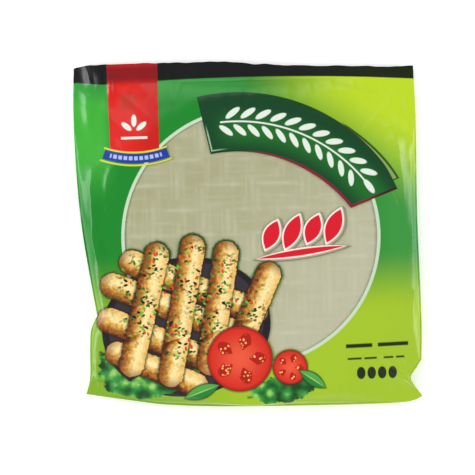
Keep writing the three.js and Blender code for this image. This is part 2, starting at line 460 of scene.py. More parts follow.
def ear(art, inks, turn):
    """The white ear of rice along the banner: a stem with grains on both sides, each side half a
    step on from the other, and one grain at its tip."""
    centre, radius = BANNER_EAR
    along = art.add("Math SUBTRACT", (EAR_START, turn))
    along = art.add("Math MULTIPLY", (along, radius))
    off = art.add("Math SUBTRACT", (art.distance(centre), radius))
    tip = Artwork(art.tree, art.add("CombineXYZ", (along, off))).oval((EAR_LAST + 3, 0), (6, 2.2))
    lag = art.add("Math LESS_THAN", (off, 0))
    place = art.add("Math MULTIPLY_ADD", (lag, EAR_STEP / 2, along))
    whole = art.all_of(art.from_(place, EAR_FIRST), art.up_to(place, EAR_LAST))
    place = art.add("Math WRAP", (place, EAR_STEP / 2, -EAR_STEP / 2))
    off = art.add("Math ABSOLUTE", (off,))
    grain = Artwork(art.tree, art.add("CombineXYZ", (place, off))).oval((0.2, 6.2), (6.0, 2.1), 38)
    stem = art.all_of(art.up_to(off, 0.6), art.from_(along, 12), art.up_to(along, EAR_LAST))
    art.lay(art.any_of(art.all_of(grain, whole), stem, tip), rgba(inks.white))


def strokes(art):
    """Four red brush dabs on a long underline in the window, each with a pale edge and a shadow."""
    dabs = [((17 + 15 * k, -1.5 + 1.8 * k), (11 + 2 * (k % 2), 5.4), 66) for k in range(4)]
    shapes = (*dabs, ((38, -14.5), (32, 2.2), 7))
    for spread, shift, colour in ((1.8, 0.8, "#9d9880"), (1.2, 0, "#f4dcd4"), (0, 0, "#cf1528")):
        leaves = []
        for (x, y), half, turn in shapes:
            half = (half[0] + 1.6 * spread, half[1] + spread)
            leaves.append(art.leaf((x + shift, y - shift), half, turn, SOFT + 0.5 * shift))
        art.lay(art.any_of(*leaves), paint(colour))


def small_marks(art, inks):
    """Rows of marks at the lower right, where such packs state their contents: plain bars."""
    for centre, half in (
        ((78, -82.8), (9.5, 1.4)),
        ((102.5, -82.1), (11, 1.4)),
        ((74.5, -92.1), (5, 0.7)),
        ((86, -91.9), (4.5, 0.7)),
        ((99, -91.6), (3.5, 0.7)),
        ((107.5, -91.4), (3, 0.7)),
    ):
        art.lay(art.bar(centre, half, 1.5, 0.5), rgba(inks.text))
    ovals = [art.oval((79 + 7.6 * k, -102.5), (3.1, 4.4)) for k in range(4)]
    art.lay(art.any_of(*ovals), rgba(inks.text))


# The tones of a fried crust, from browned to pale and back: a place on the ramp, and a colour.
CRUST = (
    (0.0, "#4a2410"), (0.22, "#9a5c20"), (0.42, "#d6a54c"), (0.62, "#f3e0a0"), (1.0, "#dcae5a"),
)


def roll(art, skin, start, end, radius):
    """A whole golden roll, fried crisp: round across, browned at the ends and blistered, with the
    lap of its wrapper across it. `skin` is the noise that blisters all the rolls. Gives the share
    of the print that the roll takes."""
    run = (end[0] - start[0], end[1] - start[1])
    centre = ((start[0] + end[0]) / 2, (start[1] + end[1]) / 2)
    along, across = art.local_xy(centre, math.degrees(math.atan2(run[1], run[0])))
    past = art.add("Math ABSOLUTE", (along,))
    past = art.add("Math SUBTRACT", (past, math.hypot(*run) / 2))
    past = art.add("Math MAXIMUM", (past, 0))
    away = art.add("VectorMath LENGTH", (art.add("CombineXYZ", (past, across)),))
    away = art.add("Math MULTIPLY_ADD", (skin, 3.2, away))  # an uneven outline
    art.lay(art.up_to(away, radius + 2.6, 1.4), paint("#2c1a12"))
    tone = art.add("Math MULTIPLY_ADD", (across, 0.5 / radius, 0.12))
    tone = art.add("Math MULTIPLY_ADD", (skin, 0.78, tone))
    lap = art.add("Math MULTIPLY_ADD", (across, 0.55, along))
    lap = art.add("Math SUBTRACT", (lap, 0.22 * math.hypot(*run)))
    shade = art.all_of(art.from_(lap, 0), art.fade(lap, 0, 6, 0.24, 0))
    tone = art.add("Math SUBTRACT", (tone, shade))
    ramp = art.add("ValToRGB", (tone,))
    elements = ramp.node.color_ramp.elements
    while len(elements) < len(CRUST):
        elements.new(0.5)
    for element, (place, colour) in zip(elements, CRUST):
        element.position = place
        element.color = paint(colour)
    browned = art.mix(art.fade(past, 0, radius, 0, 0.75), ramp, paint("#84481a"))
    share = art.up_to(away, radius + 1.6)
    art.lay(share, browned)
    return share


def sprinkle(art, share, centre, half, turn):
    """Chopped herbs and chilli strewn over an oval, where it takes in the share: long flakes of
    three sizes, each size lying another way."""
    patches = art.add("TexNoise", {"Vector": art.point, "Scale": 0.07, "Detail": 3})
    where = art.all_of(share, art.oval(centre, half, turn, 6), art.fade(patches, 0.38, 0.54))
    for pitch, reach, lie, colours in (
        (4.2, 0.36, 20, ("#14301a", "#3f7a26")),
        (5.4, 0.3, 100, ("#2a5c20", "#c4481a")),
        (6.4, 0.26, 150, ("#6fae3a", "#1c160e")),
    ):
        place = art.local((0, 0), lie, (pitch, 0.55 * pitch))
        specks = art.add("TexVoronoi", {"Vector": place, "Scale": 1})
        kind = art.add("SeparateColor", (specks.node.outputs["Color"],))
        colour = art.mix(art.from_(kind, 0.5, 0.01), *map(paint, colours))
        art.lay(art.all_of(art.up_to(specks, reach, 0.06), where), colour)


def greens(art, centre, half, turn):
    """A bed of curled salad greens: bright crowns of leaf with dark gaps, and an uneven outline."""
    curl = art.add("TexNoise", {"Vector": art.point, "Scale": 0.16, "Detail": 5})
    away = art.add("VectorMath LENGTH", (art.local(centre, turn, half),))
    away = art.add("Math MULTIPLY_ADD", (curl, 0.9, away))
    crowns = art.add("TexVoronoi", {"Vector": art.point, "Scale": 1 / 6.5}, feature="SMOOTH_F1")
    tone = art.add("Math MULTIPLY_ADD", (crowns, -1.1, 0.95))
    tone = art.add("Math MULTIPLY", (curl, tone))
    colour = art.mix(art.fade(tone, 0.05, 0.3), paint("#123f1a"), paint("#2f8a38"))
    colour = art.mix(art.fade(tone, 0.24, 0.5), colour, paint("#93c860"))
    art.lay(art.up_to(away, 1.45, 0.05), colour)


def tomato(art, centre, radius, turn):
    """A round slice of tomato: skin, flesh and five seed chambers."""
    away = art.distance(centre)
    art.lay(art.up_to(away, radius + 1, 1.2), paint("#401c14"))
    art.lay(art.up_to(away, radius), paint("#b81c16"))
    flesh = art.mix(art.fade(away, radius, 0), paint("#cc2a1c"), paint("#e2553a"))
    art.lay(art.up_to(away, radius * 0.93), flesh)
    lobes = art.add("Math MULTIPLY_ADD", (art.angle(centre), 5, math.radians(turn)))
    petal = art.add("Math COSINE", (lobes,))
    reach = art.add("Math SUBTRACT", (away, radius * 0.56))
    reach = art.add("Math ABSOLUTE", (reach,))
    chamber = art.add("Math MULTIPLY_ADD", (petal, -radius * 0.2, reach))
    art.lay(art.up_to(chamber, radius * 0.07, 0.6), paint("#a81a10"))
    seeds = art.add("TexVoronoi", {"Vector": art.point, "Scale": 0.42})
    seeds = art.all_of(art.up_to(chamber, radius * 0.02, 0.6), art.up_to(seeds, 0.33, 0.05))
    art.lay(seeds, paint("#f3b25e"))


def herb(art, centre, half, turn):
    """A pointed herb leaf with a pale rib, darker on one side of it."""
    art.lay(art.leaf(centre, (half[0] + 1, half[1] + 1), turn, 1), paint("#173f18"))
    side = art.from_(art.local_xy(centre, turn)[1], 0, 1.5)
    art.lay(art.leaf(centre, half, turn), art.mix(side, paint("#2a7a30"), paint("#4f9e46")))
    art.lay(art.leaf(centre, (half[0] * 0.9, 0.4), turn), paint("#8fc96a"))


def picture(art):
    """A picture of food: whole golden rolls laid crosswise on a charcoal dish, with greens and
    slices of tomato."""
    greens(art, (-88, -98), (22, 18), -20)
    greens(art, (22, -113), (24, 9), 5)
    art.lay(art.oval((-46, -66), (61, 50), 8), paint("#1d1a20"))
    art.lay(art.oval((-46, -65), (56, 45), 8), paint("#322d35"))
    greens(art, (-66, -106), (30, 9), 12)
    skin = art.add("TexNoise", {"Vector": art.point, "Scale": 0.3, "Detail": 6, "Roughness": 0.65})
    rolls = 0.0
    for start, end, radius in (
        ((-96, -84), (-40, -108), 8.5),
        ((-101, -60), (-26, -92), 9),
        ((-98, -35), (-14, -70), 9),
        ((-84, -19), (4, -56), 9),
        ((-66, -14), (-86, -92), 9),
        ((-40, -9), (-58, -100), 9),
        ((-16, -14), (-30, -92), 9),
        ((14, -30), (-6, -74), 9),
    ):
        rolls = art.any_of(rolls, roll(art, skin, start, end, radius))
    sprinkle(art, rolls, (-44, -48), (56, 44), -10)
    tomato(art, (28, -97), 12, 20)
    tomato(art, (-8, -90), 23, 0)
    herb(art, (-36, -113), (13, 4.5), 20)
    herb(art, (44, -106), (11, 4), -35)


def pack_print(scene):
    """The node group of the print, which the printed and the clear film share. It gives the front's
    colour and how far the film is covered with ink."""
    name = "Pack print"
    if name in bpy.data.node_groups:
        return bpy.data.node_groups[name]
    inks, seal_line = scene.pack_inks, scene.pack_film.seal_line / MM
    tree = bpy.data.node_groups.new(name, "ShaderNodeTree")
    tree.interface.new_socket("Point", in_out="INPUT", socket_type="NodeSocketVector")
    tree.interface.new_socket("Colour", in_out="OUTPUT", socket_type="NodeSocketColor")
    tree.interface.new_socket("Cover", in_out="OUTPUT", socket_type="NodeSocketFloat")
    art = Artwork(tree, add(tree, "NodeGroupInput"))
    ground(art, inks, seal_line)
    window_ring(art, inks)
    banner(art, inks)
    tab(art, inks, seal_line)
    ribbon(art, inks)
    strokes(art)
    small_marks(art, inks)
    picture(art)
    add(tree, "NodeGroupOutput", (art.colour, art.cover))
    return tree


# ---- Materials ------------------------------------------------------------------------------


def new_material(name):
    made = bpy.data.materials.new(name)
    made.use_nodes = True
    made.node_tree.nodes.clear()
    return made, made.node_tree


def print_colour(tree, scene):
    """The front's print on a material: the outputs for its colour and its cover."""
    point = millimetres(tree, 0)
    return add(tree, "Group", (point,), node_tree=pack_print(scene)).node.outputs


def film_relief(tree, scene):
    """The film's fine relief: soft crinkles some millimetres apart, and the seal's ribs."""
    seal_line = scene.pack_film.seal_line / MM
    point = millimetres(tree)
    values = {"Vector": point, "Scale": 0.12, "Detail": 4, "Roughness": 0.55}
    crinkle = add(tree, "TexNoise", values)
    y = add(tree, "SeparateXYZ", (point,)).node.outputs[1]
    ribs = add(tree, "Math SINE", (add(tree, "Math MULTIPLY", (y, math.tau / 1.6)),))
    pressed = add(tree, "MapRange", (y, seal_line - 0.3, seal_line + 0.3, 0, 0.06))
    height = add(tree, "Math MULTIPLY_ADD", (ribs, pressed, crinkle))
    return add(tree, "Bump", {"Height": height, "Strength": 0.5, "Distance": 0.5 * MM})


def film_shader(tree, colour, relief):
    """Ink under smooth film: full colour under a soft gloss."""
    values = {
        "Base Color": colour,
        "Roughness": 0.36,
        "IOR": 1.45,
        "Specular IOR Level": 0.25,
        "Coat Weight": 0.35,
        "Coat Roughness": 0.24,
        "Normal": relief,
    }
    return add(tree, "BsdfPrincipled", values)


def printed_polypropylene(scene):
    """Oriented polypropylene film, printed on its inside: the colour is full and even, the gloss is
    soft, and the film's small crinkles break it up."""
    made, tree = new_material("Printed polypropylene film")
    colour = print_colour(tree, scene)[0]
    add(tree, "OutputMaterial", (film_shader(tree, colour, film_relief(tree, scene)),))
    return made


def plain_polypropylene(scene):
    """The same film on the back of the pack, with its ground colours alone."""
    made, tree = new_material("Plain printed polypropylene film")
    art = Artwork(tree, millimetres(tree, 0))
    ground(art, scene.pack_inks, scene.pack_film.seal_line / MM)
    add(tree, "OutputMaterial", (film_shader(tree, art.colour, film_relief(tree, scene)),))
    return made


def clear_polypropylene(scene):
    """The same film left clear: nearly all light passes, with a weak gloss that grows to the side.
    Ink that runs into the window lies on it as on the rest."""
    made, tree = new_material("Clear polypropylene film")
    colour, cover = print_colour(tree, scene)
    relief = film_relief(tree, scene)
    inked = film_shader(tree, colour, relief)
    through = add(tree, "BsdfTransparent", ((0.98, 0.985, 0.97, 1),))
    gloss = add(tree, "BsdfGlossy", {"Roughness": 0.24, "Normal": relief})
    # The share of light that a surface of film gives back: it reads the same from both sides.
    facing = add(tree, "LayerWeight", {"Blend": 0.5}).node.outputs["Facing"]
    facing = add(tree, "Math POWER", (facing, 5))
    facing = add(tree, "MapRange", (facing, 0, 1, 0.03, 0.35))
    clear = add(tree, "MixShader", (facing, through, gloss))
    add(tree, "OutputMaterial", (add(tree, "MixShader", (cover, clear, inked)),))
    return made


def mat_print(art, pitch, line, offset, turn):
    """The lines that a drying mat pressed in, as a share: two rows of lines across each other, each
    paper's rows broken off in other places."""
    place = art.local(offset, turn * 9)
    patches = art.add("TexNoise", {"Vector": place, "Scale": 0.05, "Detail": 2})
    rows = []
    for value, limits in zip(art.local_xy(offset, turn), ((0.4, 0.62), (0.6, 0.38))):
        near = art.add("Math PINGPONG", (value, pitch / 2))
        rows.append(art.all_of(art.fade(near, line * 1.7, 0), art.fade(patches, *limits)))
    return art.any_of(*rows)


def dried_rice_paper(papers):
    """Dried rice paper: a brittle, half clear sheet of steamed batter. It is matt and grey-beige in
    a stack, and pale along the lines that the drying mat pressed in. The lines of the papers
    underneath show through, fainter the deeper they lie."""
    made, tree = new_material("Dried rice paper")
    art = Artwork(tree, millimetres(tree, 0))
    pitch, line = papers.mat_pitch / MM, papers.mat_line / MM
    mottle = art.add("TexNoise", {"Vector": art.point, "Scale": 0.035, "Detail": 5})
    slant = art.add("Math SUBTRACT", (art.x, art.y))  # the heap is paler to the lower right
    pale = art.add("Math", (art.fade(slant, -70, 130, -0.3, 0.5), mottle))
    art.colour = art.mix(pale, paint("#a8a680"), paint("#bebba3"))
    for strength, scale, offset, turn in (
        (0.26, 2, (4, 0), 0),
        (0.15, 1, (0, 0), 0),
        (0.14, 2, (9, 5), 3),
        (0.1, 1, (5, 2), -6),
    ):
        lines = mat_print(art, pitch * scale, line * scale, offset, turn)
        art.tint(art.all_of(lines, strength), paint("#d4d1bd"))
    grain = art.add("TexNoise", {"Vector": art.point, "Scale": 1.4, "Detail": 3})
    bump = add(tree, "Bump", {"Height": grain, "Strength": 0.3, "Distance": 0.1 * MM})
    values = {"Base Color": art.colour, "Roughness": 0.75, "IOR": 1.45, "Normal": bump}
    add(tree, "OutputMaterial", (add(tree, "BsdfPrincipled", values),))
    return made


def white_acrylic(stage):
    """Matt white acrylic, lit a little from below as on a light table: it gives an even, pale
    ground with no gloss and faint shadows."""
    made, tree = new_material("Matt white acrylic")
    values = {
        "Base Color": rgba(stage.floor),
        "Roughness": 0.9,
        "Emission Color": (1, 1, 1, 1),
        "Emission Strength": 0.2,
    }
    add(tree, "OutputMaterial", (add(tree, "BsdfPrincipled", values),))
    return made


# ---- The film's form ------------------------------------------------------------------------

# Creases of the front film: the points that each runs through, its height and its half width, in
# millimetres.
CREASES = (
    # down the left edge, from the seal to the notch
    (((-112, 116), (-113.2, 100), (-113.2, 86), (-110, 70)), 2.5, 5.0),
    (((-102, 62), (-110.5, 48), (-112.6, 36.2), (-112, 15.5), (-111.4, -4), (-108, -26)), 1.6, 3.2),
    (((-94, 56), (-99.8, 43.7), (-102, 28)), 1.7, 2.4),
    (((-113, 6), (-108, -10), (-105.5, -20), (-103, -34)), 2.4, 2.2),
    # the curled left end of the band
    (((-115, 134), (-110.8, 117), (-108, 104)), 5.0, 4.8),
    (((-97.6, 122), (-96, 97)), 2.0, 1.9),
    # from the seal towards the window
    (((-38, 113), (-50, 97)), 0.9, 2.2),
    (((9.8, 109), (9.5, 96)), 0.5, 1.3),
    (((52, 104), (112, 96)), 1.0, 4.2),
    (((60, 108), (86, 99), (104, 84)), 0.8, 2.6),
    (((86, 84), (104, 71), (116, 52)), 0.9, 2.8),
    (((98, 110), (112, 92), (119, 70)), 0.8, 2.4),
    # the right edge
    (((118, 62), (119.5, 30), (119, -10), (119.6, -30)), 0.7, 2.0),
    (((107, 78), (110.5, 48), (114, 6)), 2.4, 4.2),
    (((113, -40), (119.4, -44), (117.4, -58), (118, -78)), 0.9, 1.9),
    # the two ears, and the corners over them
    (((-110, -84), (-112, -94), (-110.5, -102), (-106, -112)), 1.2, 1.7),
    (((-101, -80), (-104, -100), (-112, -110)), 0.9, 1.6),
    (((-96, -98), (-98, -116)), 0.7, 1.8),
    (((-112, -62), (-104, -72)), 0.8, 1.6),
    (((102, -98), (110, -108), (118, -118)), 1.2, 1.8),
    (((96, -104), (104, -121)), 0.9, 1.7),
    (((112, -100), (104, -90)), 0.7, 1.6),
)


# Where the seal gathers the film, in millimetres.
GATHERS_LEFT, GATHERS_RIGHT = -109.0, 114
GATHERS_TOP = 111


def seal_gathers():
    """Short creases that run down from the seal, which gathers the film a little."""
    draw = random.Random(7)
    x = GATHERS_LEFT
    while x < GATHERS_RIGHT:
        length = draw.uniform(8, 24)
        foot = (x + draw.uniform(-0.25, 0.25) * length, GATHERS_TOP - length)
        yield ((x, GATHERS_TOP), foot), draw.uniform(0.25, 0.6), draw.uniform(1.1, 2.2)
        x += draw.uniform(8, 19)


def smoothstep(low, high, value):
    share = np.clip((value - low) / (high - low), 0, 1)
    return share * share * (3 - 2 * share)


def crease_height(x, y):
    """How far the creases lift the front film at each point. Each fades out towards its ends."""
    height = np.zeros_like(x)
    for points, top, width in (*CREASES, *seal_gathers()):
        nearest = np.full_like(x, np.inf)
        passed = np.zeros_like(x)
        for k, ((x0, y0), (x1, y1)) in enumerate(zip(points, points[1:])):
            run = (x1 - x0, y1 - y0)
            along = ((x / MM - x0) * run[0] + (y / MM - y0) * run[1]) / (run[0] ** 2 + run[1] ** 2)
            along = np.clip(along, 0, 1)
            away = np.hypot(x / MM - x0 - along * run[0], y / MM - y0 - along * run[1])
            passed = np.where(away < nearest, (k + along) / (len(points) - 1), passed)
            nearest = np.minimum(nearest, away)
        fade = smoothstep(0, 0.3, passed) * smoothstep(1, 0.6, passed)
        height += top * MM * (0.25 + 0.75 * fade) * np.exp(-((nearest / width) ** 1.35))
    return height


def noise_field(*axes):
    """Smooth noise about 0 at each point of an array. Each axis is an array or a number."""
    axes = [np.broadcast_to(axis, axes[0].shape).ravel() for axis in axes]
    return np.array([noise.noise(Vector(place)) for place in zip(*axes)])


RAY_GAP = 0.002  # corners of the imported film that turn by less, in radians, lie on one ray


def film_outline():
    """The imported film's outline: the outermost point of each of its rays from the middle of the
    stack, as x, y and the height of its edge, in order round the pack."""
    corners = np.array([v.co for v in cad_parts["printed_film"].data.vertices])
    offset = corners[:, :2] - STACK
    distance = np.hypot(*offset.T)
    beside = np.flatnonzero(distance > RIM_RADIUS + 0.6 * MM)
    turn = np.arctan2(offset[beside, 1], offset[beside, 0])
    order = np.argsort(turn)
    breaks = np.flatnonzero(np.diff(turn[order]) > RAY_GAP) + 1
    outline = []
    for ray in np.split(beside[order], breaks):
        far = ray[distance[ray] > distance[ray].max() - 0.05 * MM]
        outline.append(corners[far].mean(axis=0))
    return np.array(outline)


class Rays:
    """The film's rays from the middle of the stack to points along the outline."""

    def __init__(self, film):
        corners = film_outline()
        points = []
        for start, end in zip(corners, np.roll(corners, -1, axis=0)):
            count = max(1, round(float(np.hypot(*(end - start)[:2])) / film.step))
            points += [start + (end - start) * share for share in np.arange(count) / count]
        points = np.array(points)
        offset = points[:, :2] - STACK
        length = np.hypot(*offset.T)
        ripple = noise_field(points[:, 0] / (8 * MM), 0.5, 2.5) * film.ripple
        length += ripple * smoothstep(film.seal_line, film.seal_line + 4 * MM, points[:, 1])
        self.count = len(points)
        self.direction = offset / np.hypot(*offset.T)[:, None]
        self.reach = length - RIM_RADIUS
        rise = np.maximum(self.direction[:, 1], 1e-6)
        to_seal = (film.seal_line - STACK[1]) / rise - RIM_RADIUS
        to_hem = self.reach - np.minimum(film.hem_width, self.reach * 0.3)
        self.span = np.minimum(to_hem, to_seal)
        self.far = smoothstep(film.near_span, film.far_span, self.span)
        self.power = np.where(to_seal < to_hem, 1, 0.5)
        sway = noise_field(points[:, 0] / (30 * MM), points[:, 1] / (30 * MM), 5.5)
        self.sway = sway * film.sway * (0.4 + 0.6 * self.far)
        self.edge = points[:, 2]
        towards = self.direction @ (STACK - WINDOW)
        apart = np.sum((STACK - WINDOW) ** 2)
        self.window = -towards + np.sqrt(towards**2 - apart + WINDOW_RADIUS**2)


def waves(film, x, y):
    """How far the film over the papers waves up and down."""
    return noise_field(x / (34 * MM), y / (34 * MM), 3.0) * film.wave


def folds(film, x, y, far):
    """The front film's folds beside the stack: the creases, and small sharp folds, which fan out
    from the stack where the edge is far and run along the edge where it is near."""
    offset = np.stack([x - STACK[0], y - STACK[1]])
    distance = np.hypot(*offset)
    turn = np.arctan2(offset[1], offset[0])
    beyond = distance - RIM_RADIUS
    fan = 1 - 2 * np.abs(noise_field(np.cos(turn) * 11, np.sin(turn) * 11, distance / (60 * MM)))
    lengthwise = 1 - 2 * np.abs(noise_field(x / (11 * MM), y / (46 * MM), 8.0))
    fine = noise_field(x / (6 * MM), y / (8 * MM), 7.0)
    small = (fan * far + lengthwise * (1 - far)) * film.fold + fine * 0.5 * film.fold
    creases = crease_height(x, y) * smoothstep(-18 * MM, 2 * MM, beyond)
    return creases + small * smoothstep(-5 * MM, 14 * MM, beyond)


TOP_RINGS = 11  # from the window to the rim of the stack
SLOPE_RINGS = 34  # from there down to the hem or the seal
BAND_RINGS = 6  # across the hem or the sealed band
UNDER_RINGS = 9  # from the hem or the seal back in under the pack
BASE_SHARES = (0.8, 0.55, 0.3, 0.1, 0)  # of the rim's radius: the rings under the stack
BACK_RINGS = BAND_RINGS + 1 + UNDER_RINGS + len(BASE_SHARES)
BEND = 0.22  # rounds the film's bend at the rim of the stack


def film_rings(film, rays):
    """The rings of the wrapped film, each a distance from the stack's middle and a height on every
    ray: from the window over the rim and down to the edge, and under the pack to the middle. The
    third value is the share of the edge's sway and the fourth that of the folds."""
    top = rays.edge + film.hem / 2
    bottom = rays.edge - film.hem / 2
    end = RIM_RADIUS + rays.reach
    line = RIM_RADIUS + rays.span
    rings = []

    def ring(distance, height, sway, fold):
        values = (distance, height, sway, fold)
        rings.append([np.broadcast_to(value, rays.count) for value in values])

    for share in np.linspace(0, 1, TOP_RINGS):
        ring(rays.window + (RIM_RADIUS - rays.window) * share, FRONT, 0, share)
    for share in (1 - np.cos(np.linspace(0, math.pi, SLOPE_RINGS + 1)[1:])) / 2:
        fallen = share**2 * (1 + BEND) / (share + BEND)
        kept = (1 - rays.far) * (1 - share**2) ** rays.power + rays.far * (1 - fallen) ** 1.6
        ring(RIM_RADIUS + share * rays.span, top + (FRONT - top) * kept, share**2, 1)
    for share in np.linspace(0, 1, BAND_RINGS + 1)[1:]:
        ring(line + share * (end - line), top, 1, 1 - share * 0.5)
    for share in np.linspace(1, 0, BAND_RINGS + 1):
        ring(line + share * (end - line), bottom, 1, 1 - share * 0.6)
    for share in np.linspace(1, 0, UNDER_RINGS + 1)[1:]:
        ring(RIM_RADIUS + share * rays.span, bottom * share**1.3, share**2, share**2)
    for share in BASE_SHARES:
        ring(RIM_RADIUS * share, 0, 0, 0)
    return np.array(rings)


# ---- Modelling ------------------------------------------------------------------------------


def select(*objects):
    """Selects these objects alone. The first one becomes the active one."""
    bpy.ops.object.select_all(action="DESELECT")
    for obj in objects:
        obj.select_set(True)
    bpy.context.view_layer.objects.active = objects[0]


@contextmanager
def editing(obj):
    """Edit mode on an object, with all of its mesh selected."""
    select(obj)
    bpy.ops.object.mode_set(mode="EDIT")
    bpy.ops.mesh.select_all(action="SELECT")
    yield
    bpy.ops.object.mode_set(mode="OBJECT")


def apply_modifier(obj, kind, **settings):
    modifier = obj.modifiers.new(kind.title(), kind)
    for name, value in settings.items():
        setattr(modifier, name, value)
    select(obj)
    bpy.ops.object.modifier_apply(modifier=modifier.name)


def flat_rings(name, sides, count):
    """A flat sheet of rings round a hole: ring k has radius k + 1."""
    bpy.ops.object.select_all(action="DESELECT")
    bpy.ops.mesh.primitive_circle_add(vertices=sides, radius=1, location=(0, 0, 0))
    obj = bpy.context.object
    obj.name = obj.data.name = name
    with editing(obj):
        for ring in range(1, count):
            growth = (ring + 1) / ring
            bpy.ops.mesh.extrude_region_move()
            bpy.ops.transform.resize(value=(growth, growth, 1), center_override=(0, 0, 0))
    return obj


def ring_places(obj, sides):
    """The ring and the ray that each point of a sheet of rings lies on."""
    flat = np.array([v.co for v in obj.data.vertices])
    ring = np.rint(np.hypot(flat[:, 0], flat[:, 1])).astype(int) - 1
    turn = np.arctan2(flat[:, 1], flat[:, 0]) - math.atan2(flat[0, 1], flat[0, 0])
    ray = np.rint(turn / math.tau * sides).astype(int) % sides
    return ring, ray


def move_points(obj, places):
    obj.data.vertices.foreach_set("co", np.ascontiguousarray(places, dtype=np.float32).ravel())
    obj.data.update()


def clean_shell(obj):
    """Closes the seams and turns every face outwards."""
    with editing(obj):
        bpy.ops.mesh.remove_doubles(threshold=0.001 * MM)
        bpy.ops.mesh.normals_make_consistent(inside=False)


def round_sheet(name, centre, radius, height, wall, sides, count):
    """A round sheet with a wall: each point of its upper side lies at the height that `height`
    gives for its x and y."""
    obj = flat_rings(name, sides, count)
    ring, ray = ring_places(obj, sides)
    turn = ray / sides * math.tau
    distance = radius * ring / (count - 1)
    x = centre[0] + distance * np.cos(turn)
    y = centre[1] + distance * np.sin(turn)
    move_points(obj, np.column_stack([x, y, height(x, y)]))
    clean_shell(obj)
    if sum(face.normal.z for face in obj.data.polygons) < 0:
        with editing(obj):
            bpy.ops.mesh.flip_normals()
    apply_modifier(obj, "SOLIDIFY", thickness=wall, offset=-1)
    return obj


LAP_LOW, LAP_HIGH = -123 * MM, 121 * MM  # y of the lap seam's two ends
LAP_WALL = 0.12 * MM


def lap_seam(wrap, width):
    """The lap down the back, where the film's two sides are sealed over each other: a strip that
    lies against the wrap and becomes part of it."""
    bpy.ops.object.select_all(action="DESELECT")
    below = (STACK[0], (LAP_LOW + LAP_HIGH) / 2, wrap.bound_box[0][2] - 5 * MM)
    bpy.ops.mesh.primitive_grid_add(
        x_subdivisions=5, y_subdivisions=110, size=1, location=below
    )
    seam = bpy.context.object
    seam.scale = (width, LAP_HIGH - LAP_LOW, 1)
    bpy.ops.object.transform_apply(location=True, scale=True)
    apply_modifier(
        seam, "SHRINKWRAP", target=wrap, wrap_method="PROJECT", use_project_z=True,
        use_positive_direction=True, offset=-0.03 * MM,
    )
    apply_modifier(seam, "SOLIDIFY", thickness=LAP_WALL, offset=-1)
    seam.data.materials.append(wrap.data.materials[1])
    select(wrap, seam)
    bpy.ops.object.join()


SMOOTH_ANGLE = math.radians(50)  # faces that meet at less than this are shaded as one


def dress(obj, slot, *nodes):
    """Puts a finished piece in the place of its nodes."""
    select(obj)
    bpy.ops.object.shade_smooth_by_angle(angle=SMOOTH_ANGLE)
    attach(obj, "root")
    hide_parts(*nodes)


# ---- Operators ------------------------------------------------------------------------------


class PACK_OT_rice_papers(bpy.types.Operator):
    """Makes the stack of round rice papers"""

    bl_idname = "pack.rice_papers"
    bl_label = "Rice papers"

    def execute(self, context):
        papers = context.scene.pack_papers
        draw = random.Random(25)
        pitch = (PAPERS_TOP - PAPERS_BOTTOM) / papers.count
        thickness = pitch - papers.gap
        model = self.paper(thickness)
        parts = []
        for layer in range(papers.count - 1):
            copy = model.copy()
            copy.data = model.data.copy()
            context.collection.objects.link(copy)
            slip = [draw.uniform(-papers.slip, papers.slip) for _ in "xy"]
            copy.location = (STACK[0] + slip[0], STACK[1] + slip[1], PAPERS_BOTTOM + layer * pitch)
            copy.rotation_euler.z = draw.uniform(0, math.tau)
            parts.append(copy)
        bpy.data.objects.remove(model)
        stack = self.top_paper(papers, thickness)
        select(stack, *parts)
        bpy.ops.object.transform_apply(location=True, rotation=True)
        bpy.ops.object.join()
        stack.name = stack.data.name = "rice_paper_stack"
        stack.data.materials.append(dried_rice_paper(papers))
        dress(stack, "rice_paper", "rice_papers")
        return {"FINISHED"}

    def paper(self, thickness):
        """One flat paper, standing on z = 0, with its edge rounded off."""
        bpy.ops.object.select_all(action="DESELECT")
        bpy.ops.mesh.primitive_cylinder_add(
            vertices=128, radius=PAPER_RADIUS, depth=thickness, location=(0, 0, thickness / 2)
        )
        obj = bpy.context.object
        bpy.ops.object.transform_apply(location=True)
        apply_modifier(obj, "BEVEL", width=thickness * 0.3, segments=2, limit_method="ANGLE")
        return obj

    def top_paper(self, papers, thickness):
        """The paper that the window shows, with the mat's lines standing up from it."""
        pitch, line = papers.mat_pitch, papers.mat_line

        def height(x, y):
            near = [np.abs((value + pitch / 2) % pitch - pitch / 2) for value in (x, y)]
            lines = np.exp(-((np.minimum(*near) / line) ** 2))
            broad = noise_field(x / (40 * MM), y / (40 * MM), 1.5)
            return PAPERS_TOP + lines * papers.mat_height + broad * papers.wave

        return round_sheet(
            "top_paper", STACK, STACK_RADIUS, height, thickness, sides=300, count=112
        )


class PACK_OT_printed_film(bpy.types.Operator):
    """Makes the printed film that is wrapped and sealed round the papers"""

    bl_idname = "pack.printed_film"
    bl_label = "Printed film"

    def execute(self, context):
        film = context.scene.pack_film
        rays = Rays(film)
        rings = film_rings(film, rays)
        obj = flat_rings("printed_film_wrap", rays.count, len(rings))
        ring, ray = ring_places(obj, rays.count)
        distance, height, sway, fold = (rings[ring, k, ray] for k in range(4))
        x, y = (STACK + rays.direction[ray] * distance[:, None]).T
        z = height + waves(film, x, y) * (ring < TOP_RINGS) + sway * rays.sway[ray]
        z += folds(film, x, y, rays.far[ray]) * fold
        move_points(obj, np.column_stack([x, y, np.clip(z, film.wall, cad_high.z)]))
        obj.data.materials.append(printed_polypropylene(context.scene))
        obj.data.materials.append(plain_polypropylene(context.scene))
        back = len(rings) - BACK_RINGS
        for face in obj.data.polygons:
            face.material_index = int(min(ring[v] for v in face.vertices) >= back)
        clean_shell(obj)
        apply_modifier(obj, "SOLIDIFY", thickness=film.wall, offset=-1)
        lap_seam(obj, film.lap_width)
        dress(obj, "printed_film", "printed_film")
        return {"FINISHED"}


